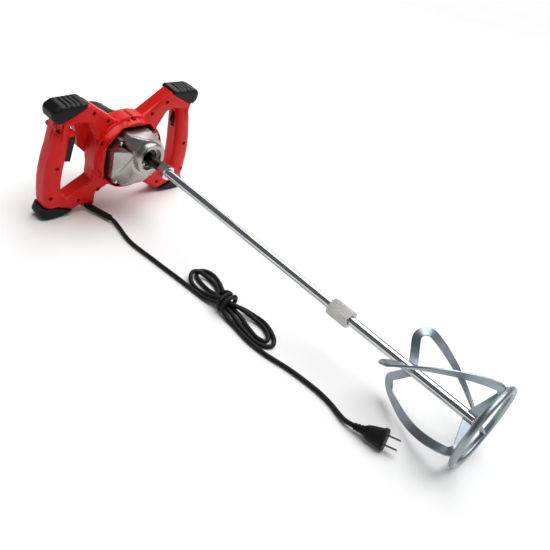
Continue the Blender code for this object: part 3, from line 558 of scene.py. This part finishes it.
def controls():
    hulled("switch_trigger_form", TRIGGER, BLACK, "trigger", 1.6, ("switch_trigger",))
    hulled("trigger_guard", GUARD, RED, "casing", 0.8)
    refined("switch_body", BLACK, "casing", 1.0)
    refined("speed_control", BLACK, "casing", 0.6)
    bm = bmesh.new()
    rings = []
    count = 180
    for y, radius, depth in DIAL_STATIONS:
        ring = []
        for k in range(count):
            angle = 2 * math.pi * k / count
            reach = radius - depth * (0.5 + 0.5 * math.cos(angle * DIAL_KNURLS))
            x, z = DIAL_CENTRE[0] + reach * math.cos(angle), DIAL_CENTRE[1] + reach * math.sin(angle)
            ring.append(bm.verts.new((x, y, z)))
        rings.append(ring)
    skinned(bm, rings)
    piece("speed_dial_form", bm, BLACK, "dial", angle=40, instead_of=("speed_dial",))


# ---------------------------------------------------------------- the drive


GEARBOX_SCREW_Y = -31.3


def gearbox():
    refined("gearbox_housing", CAST, width=1.1, angle=25)
    refined("bearing_plate", OXIDE, width=0.4)
    refined("spindle_bearing", OXIDE, "casing", 0.3)
    refined("circlip", STEEL, "casing", 0.2)
    refined("spindle", OXIDE, "mixer_shaft", 0.4)
    for k in range(1, 5):
        low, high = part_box(f"gearbox_screw_{k}")
        centre = TOOL.inverted() @ ((low + high) / 2)
        bm = bmesh.new()
        screw(bm, centre.x, centre.z, GEARBOX_SCREW_Y)
        name = f"gearbox_screw_{k}"
        piece(name + "_head", bm, STEEL, "casing", instead_of=(name,))


# How a hexagon bar's ends are cut: the bore's chamfer as (depth, width), the flat face's share of the
# width, and the cone as (depth at the middle of a side, slope)
BORE_CHAMFER = (0.4, 0.7)
FACE_SHARE = 0.95
CONE = (0.25, 0.55)


def hexagonal(bm, start, end, across, bore):
    """A hexagon bar along Y, its corners cut by a cone at both ends, with a chamfered bore."""
    count = 72
    half = across / 2
    corner = half / math.cos(math.pi / 6)
    way = math.copysign(1, end - start)
    rings = []

    def ring(y_of, radius_of):
        """A ring whose place and radius come from how far the hexagon's side is at each angle."""
        made = []
        for k in range(count):
            angle = 2 * math.pi * k / count
            sector = (angle + math.pi / 6) % (math.pi / 3) - math.pi / 6
            flat = half / math.cos(sector)
            radius = radius_of(flat)
            x, z = radius * math.cos(angle), radius * math.sin(angle)
            made.append(bm.verts.new((x, y_of(flat), z)))
        return made

    def cut(flat):
        """How far below the bar's end the cone meets a side that is so far from the axis."""
        return CONE[0] + (flat - half) * CONE[1]

    rings.append(ring(lambda f: start + way * BORE_CHAMFER[0], lambda f: bore))
    rings.append(ring(lambda f: start, lambda f: bore + BORE_CHAMFER[1]))
    rings.append(ring(lambda f: start, lambda f: half * FACE_SHARE))
    rings.append(ring(lambda f: start + way * cut(f), lambda f: f))
    near = start + way * (cut(corner) + 0.2)
    far = end - way * (cut(corner) + 0.2)
    for k in range(7):
        rings.append(ring(lambda f, k=k: near + (far - near) * k / 6, lambda f: f))
    rings.append(ring(lambda f: end - way * cut(f), lambda f: f))
    rings.append(ring(lambda f: end, lambda f: half * FACE_SHARE))
    rings.append(ring(lambda f: end, lambda f: bore + BORE_CHAMFER[1]))
    rings.append(ring(lambda f: end - way * BORE_CHAMFER[0], lambda f: bore))
    return skinned(bm, rings, closed=True)


ROD_RADIUS = 7.0
ROD_BORE = 7.3
RODS = (("upper_rod", -68, -486), ("lower_rod", -488, -710))
# Name, look, slot, start, end and width across the flats
HEXAGONS = [
    ("lock_nut", NUT, "zinc_nut", -94, -110, 22),
    ("hex_coupling", COUPLING, "zinc_coupling", -469, -505, 24),
]


def mixer_rod():
    for name, look, slot, start, end, across in HEXAGONS:
        bm = hexagonal(bmesh.new(), start, end, across, ROD_BORE)
        piece(name + "_form", bm, look, "mixer_shaft", angle=24, instead_of=(name,))
    for name, start, end in RODS:
        stations = [(start, 6), (start - 1, ROD_RADIUS)]
        stations += [(start - 1 + (end - start + 2) * k / 12, ROD_RADIUS) for k in range(1, 13)]
        bm = turned(stations + [(end, 6)], 64)
        piece(name + "_form", bm, ROD, "mixer_shaft", instead_of=(name,))


# Each blade starts at its own angle and turns by BLADE_TURN degrees from BLADE_TOP down to BLADE_BOTTOM
BLADE_STARTS = {"first": 46.2, "second": 166.2, "third": 286.2}
BLADE_TURN = -91
BLADE_TOP = -580
BLADE_BOTTOM = -718
BLADE_WIDTH = 12.2
BLADE_THICKNESS = 3.6
UPPER_WELD_Y = -607.5
LOWER_WELD_Y = -703.5
WELD_HALF = 6.5
RING_WELD = (52.5, 57, 61.5)
BEAD_SPACING = 1.1
# (Distance from the rod's middle, y, radius of the bend)
BLADE_BENDS = [
    (ROD_RADIUS, UPPER_WELD_Y, 0), (57.5, -573.8, 15), (57.5, -722, 10), (ROD_RADIUS, LOWER_WELD_Y, 0),
]


def blade_angle(start, y):
    """The way that a blade points, seen along the rod, where it is y along it."""
    share = min(1, max(0, (y - BLADE_TOP) / (BLADE_BOTTOM - BLADE_TOP)))
    return math.radians(start + BLADE_TURN * share)


def blade(start):
    """A flat bar bent on edge into a C and twisted a quarter turn about the rod, with eased edges."""
    path = [Vector(BLADE_BENDS[0][:2])]
    for before, corner, after in zip(BLADE_BENDS, BLADE_BENDS[1:], BLADE_BENDS[2:]):
        path += arc(before, corner, after, 14)
    path.append(Vector(BLADE_BENDS[-1][:2]))
    fine = [path[0]]
    for near, far in zip(path, path[1:]):
        parts = max(1, math.ceil((far - near).length / 3))
        fine += [near.lerp(far, k / parts) for k in range(1, parts + 1)]
    rod = Vector((0, 1, 0))
    bm = bmesh.new()
    rings = []
    for i, point in enumerate(fine):
        ahead = (fine[min(i + 1, len(fine) - 1)] - fine[max(i - 1, 0)]).normalized()
        angle = blade_angle(start, point.y)
        radial = Vector((math.cos(angle), 0, math.sin(angle)))
        wide = (rod * ahead.x - radial * ahead.y) * (BLADE_WIDTH / 2)
        thick = rod.cross(radial) * (-BLADE_THICKNESS / 2)
        centre = radial * point.x + rod * point.y
        corners = []
        for w, t in ((-1, -1), (1, -1), (1, 1), (-1, 1)):
            corners += [centre + wide * w * 0.93 + thick * t, centre + wide * w + thick * t * 0.6]
        rings.append([bm.verts.new(corners[i]) for i in (0, 2, 3, 5, 4, 6, 7, 1)])
    return skinned(bm, rings)


def beads(bm, line, size):
    """A ripple of weld droplets, BEAD_SPACING apart, along a line."""
    run = 0.0
    for near, far in zip(line, line[1:]):
        steps = max(1, round((far - near).length / BEAD_SPACING))
        for k in range(steps):
            swell = size * (1 + 0.22 * math.sin(run * 2.3) + 0.1 * math.sin(run * 5.1))
            matrix = Matrix.Translation(near.lerp(far, k / steps))
            matrix = matrix @ Matrix.Diagonal((swell, 0.9 * swell, swell, 1))
            bmesh.ops.create_icosphere(bm, subdivisions=3, radius=1, matrix=matrix)
            run += 1


def weld(bm, angle, places, offset, size):
    """Beads on both sides of a blade, through places of (distance from the axis, y)."""
    out = Vector((math.cos(angle), 0, math.sin(angle)))
    side = Vector((0, 1, 0)).cross(out)
    for way in (-1, 1):
        line = [out * reach + side * way * offset + Vector((0, y, 0)) for reach, y in places]
        beads(bm, line, size)


def paddle():
    for word, start in BLADE_STARTS.items():
        node = f"{word}_blade"
        made = piece(node + "_form", blade(start), PADDLE, "mixer_shaft", angle=40,
                     instead_of=(node,))
        bevelled(made, 0.25, 2, 30)
    around = [2 * math.pi * k / 24 for k in range(24)]
    profile = [(RING_Y + RING_BAR * math.cos(a), RING_RADIUS + RING_BAR * math.sin(a)) for a in around]
    bm = turned(profile, 128, closed=True)
    piece("paddle_ring_form", bm, PADDLE, "mixer_shaft", angle=60,
          instead_of=("paddle_ring",))
    bm = bmesh.new()
    for start in BLADE_STARTS.values():
        for y in (UPPER_WELD_Y, LOWER_WELD_Y):
            places = [(ROD_BORE, y - WELD_HALF), (ROD_BORE, y), (ROD_BORE, y + WELD_HALF)]
            weld(bm, blade_angle(start, y), places, 1.9, 1.25)
        places = [(reach, RING_Y + RING_BAR - 0.2) for reach in RING_WELD]
        weld(bm, math.radians(start + BLADE_TURN), places, 2.2, 1.2)
    piece("paddle_welds", bm, WELD, "mixer_shaft", angle=60)


# ---------------------------------------------------------------- sleeve and plug

RELIEF = [
    (-62, 12, -105), (-62, 11.5, -112.5), (-61, 6, -116.6), (-58.5, -6, -117.2), (-54.5, -22, -116.6),
    (-49, -46, -114.6),
]
RELIEF_RADII = (6.4, 6.4, 6.2, 5.6, 5.4, 5.0)


def relief():
    """The cord's moulded sleeve, which gets thinner towards its end."""
    line = curve_points(RELIEF, 16)
    steps = len(line) - 1
    radii = []
    for k in range(steps + 1):
        at = k / steps * (len(RELIEF_RADII) - 1)
        low = min(int(at), len(RELIEF_RADII) - 2)
        radius = RELIEF_RADII[low] + (RELIEF_RADII[low + 1] - RELIEF_RADII[low]) * (at - low)
        radii.append(radius)
    radii[-1] *= 0.9
    bm = swept(line, radii, 28)
    piece("cord_sleeve", bm, JACKET, "casing", angle=50, instead_of=("strain_relief",))


PLUG_AT = Vector((-78.4, -298.8, 9.3))
PLUG_TURN = (math.radians(38), math.radians(-8), math.radians(-78))
# Distance along the plug, half width and half height: a neck with two rings, a waist and a flared face
PLUG_STATIONS = [
    (-8, 3.8, 3.8), (-7.7, 4.5, 4.5), (-5.2, 4.7, 4.7), (-4.8, 4.1, 4.1), (-3.6, 4.1, 4.1),
    (-3.2, 5.1, 5.1), (-0.6, 5.2, 5.2), (-0.2, 4.5, 4.5), (1.4, 4.6, 4.6), (1.8, 5.5, 5.4),
    (5.4, 5.8, 5.6), (7, 6.8, 6.2), (10, 8.8, 7.3), (14, 10, 7.9), (25, 12.2, 8.8), (29, 12.9, 9.2),
    (30.2, 13.2, 9.4), (30.8, 14, 10.1), (31.4, 14.4, 10.5), (35, 14.5, 10.5), (35.7, 14.2, 10.2),
    (36, 13.5, 9.5),
]

PLUG_SQUARENESS = 0.7
PLUG_RIBS = 16
PLUG_RIB_DEPTH = 0.035
PLUG_GRIP = (9, 30)


def plug():
    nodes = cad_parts
    for name in ("left_plug_blade", "right_plug_blade"):
        paint(nodes[name], PRONG)
        smooth(nodes[name])
        bevelled(nodes[name], 0.3, 2)
    bm = bmesh.new()
    rings = []
    count = 96
    for x, wide, tall in PLUG_STATIONS:
        ring = []
        for k in range(count):
            angle = 2 * math.pi * k / count
            across, up = math.cos(angle), math.sin(angle)
            y = wide * math.copysign(abs(across) ** PLUG_SQUARENESS, across)
            z = tall * math.copysign(abs(up) ** PLUG_SQUARENESS, up)
            rib = 1
            if PLUG_GRIP[0] < x < PLUG_GRIP[1]:
                rib -= PLUG_RIB_DEPTH * (0.5 - 0.5 * math.cos(angle * PLUG_RIBS))
            ring.append(bm.verts.new((x, y * rib, z * rib)))
        rings.append(ring)
    skinned(bm, rings)
    pose = FLOOR @ Matrix.Translation(PLUG_AT) @ Euler(PLUG_TURN).to_matrix().to_4x4()
    body = piece("plug_form", bm, PLUG, "casing", pose, 40, ("plug_body",))
    return [body, nodes["left_plug_blade"], nodes["right_plug_blade"]]


def hidden_pieces():
    looks = {
        STEEL: (
            "armature_shaft", "lay_wheel", "lay_shaft", "output_gear", "front_motor_bearing",
            "rear_motor_bearing",
        ),
        COPPER: ("armature_core", "commutator"),
        OXIDE: ("stator",),
        BLACK: ("cooling_fan", "left_brush_holder", "right_brush_holder"),
        CARBON: ("left_brush", "right_brush"),
    }
    for look, names in looks.items():
        for name in names:
            paint(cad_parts[name], look)
            smooth(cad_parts[name], 30)


# ---------------------------------------------------------------- floor, light and camera


def area_light(name, at, size, power):
    """A rectangular light that shines at the middle of the tool."""
    data = bpy.data.lights.new(name, "AREA")
    data.shape = "RECTANGLE"
    data.size, data.size_y = size
    data.energy = power
    made = bpy.data.objects.new(name, data)
    bpy.context.scene.collection.objects.link(made)
    made.location = at
    made.rotation_euler = (Vector((0, 0, 0.1)) - Vector(at)).to_track_quat("-Z", "Y").to_euler()


def studio():
    """A white floor, a dim white world, a wide soft sun and two area lights."""
    bm = bmesh.new()
    bmesh.ops.create_grid(bm, x_segments=1, y_segments=1, size=9)
    mesh = bpy.data.meshes.new("floor")
    bm.to_mesh(mesh)
    bm.free()
    floor = bpy.data.objects.new("floor", mesh)
    bpy.context.scene.collection.objects.link(floor)
    look = Look("floor")
    look.link(look.ramp(look.noise(3), (0.3, (0.93, 0.93, 0.93)), (0.7, (0.95, 0.95, 0.95))), "Base Color")
    look.set(Roughness=0.9)
    floor.data.materials.append(look.material)

    world = bpy.data.worlds.new("studio")
    world.use_nodes = True
    background = world.node_tree.nodes["Background"]
    background.inputs["Color"].default_value = (1, 1, 1, 1)
    background.inputs["Strength"].default_value = 0.15
    bpy.context.scene.world = world
    bpy.context.scene.view_settings.view_transform = "Standard"
    data = bpy.data.lights.new("overhead", "SUN")
    data.energy = 3.05
    data.angle = math.radians(66)
    sun = bpy.data.objects.new("overhead", data)
    bpy.context.scene.collection.objects.link(sun)
    sun.rotation_euler = Vector((0.34, -0.12, 1)).to_track_quat("Z", "Y").to_euler()
    area_light("front", at=(-0.9, -2.2, 1.0), size=(0.5, 1.2), power=2.5)
    area_light("back", at=(1.5, 1.2, 1.25), size=(1.9, 1.1), power=13)


def camera():
    """The photograph's camera, which looks down from the front left."""
    data = bpy.data.cameras.new("camera")
    data.lens = 45.9
    data.sensor_width = 36
    made = bpy.data.objects.new("camera", data)
    bpy.context.scene.collection.objects.link(made)
    right = Vector((0.67036, -0.71354, 0.20364))
    up = Vector((0.28532, 0.50120, 0.81694))
    back = Vector((-0.68499, -0.48954, 0.53958))
    matrix = Matrix((right, up, back)).transposed().to_4x4()
    made.matrix_world = Matrix.Translation((-0.70271, -0.55923, 0.62486)) @ matrix
    bpy.context.scene.camera = made


camera()
studio()
cord(plug())
relief()
casing()
controls()
gearbox()
mixer_rod()
paddle()
hidden_pieces()
